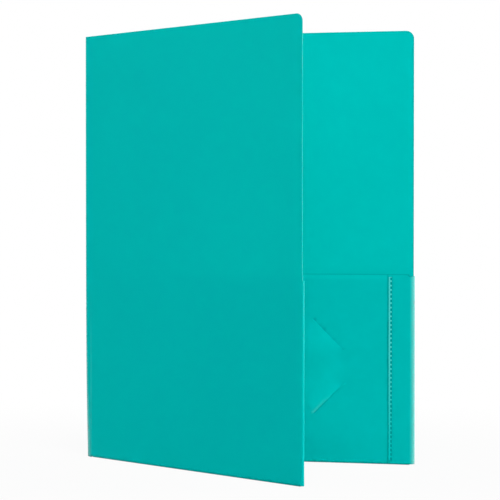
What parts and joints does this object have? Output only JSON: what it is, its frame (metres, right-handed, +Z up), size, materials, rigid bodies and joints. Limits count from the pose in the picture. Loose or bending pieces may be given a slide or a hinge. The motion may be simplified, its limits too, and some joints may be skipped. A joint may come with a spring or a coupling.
{
  "type": "two pocket folder",
  "caption": "Plastic document folder standing ajar: hinged covers on a scored spine, a folded-up, side-welded paper pocket inside each cover, and card slits in the back pocket.",
  "frame": {"origin": "on the floor, under the middle of the box round the standing, part-open folder", "axes": "+Z up along the spine, +X from the spine along the back cover to its free edge, -Y from the back cover's inside towards the front cover"},
  "size_m": [0.235, 0.1412, 0.296],
  "materials": {
    "poly_sheet": "satin teal polypropylene sheet",
    "welded_poly": "melted and pressed teal polypropylene"
  },
  "bodies": {
    "back_half": {"back_cover": "poly_sheet", "back_bottom_fold_outer": "poly_sheet", "back_bottom_fold_inner": "poly_sheet", "back_pocket": "poly_sheet", "back_side_fold_outer": "poly_sheet", "back_side_fold_inner": "poly_sheet", "back_side_flap": "poly_sheet", "back_weld_seam": "welded_poly"},
    "spine_strip": {"spine": "poly_sheet", "back_crease": "poly_sheet", "front_crease": "poly_sheet"},
    "front_half": {"front_cover": "poly_sheet", "front_bottom_fold_outer": "poly_sheet", "front_bottom_fold_inner": "poly_sheet", "front_pocket": "poly_sheet", "front_side_fold_outer": "poly_sheet", "front_side_fold_inner": "poly_sheet", "front_side_flap": "poly_sheet", "front_weld_seam": "welded_poly"}
  },
  "joints": [
    {"name": "back_crease_fold", "type": "hinge", "parent": "back_half", "child": "spine_strip", "pos_m": [-0.11538, 0.07036, 0], "axis": [0, 0, -1], "range_deg": [-17.75, 162.25]},
    {"name": "front_crease_fold", "type": "hinge", "parent": "spine_strip", "child": "front_half", "pos_m": [-0.11732, 0.06431, 0], "axis": [0, 0, -1], "range_deg": [-17.75, 162.25]}
  ]
}
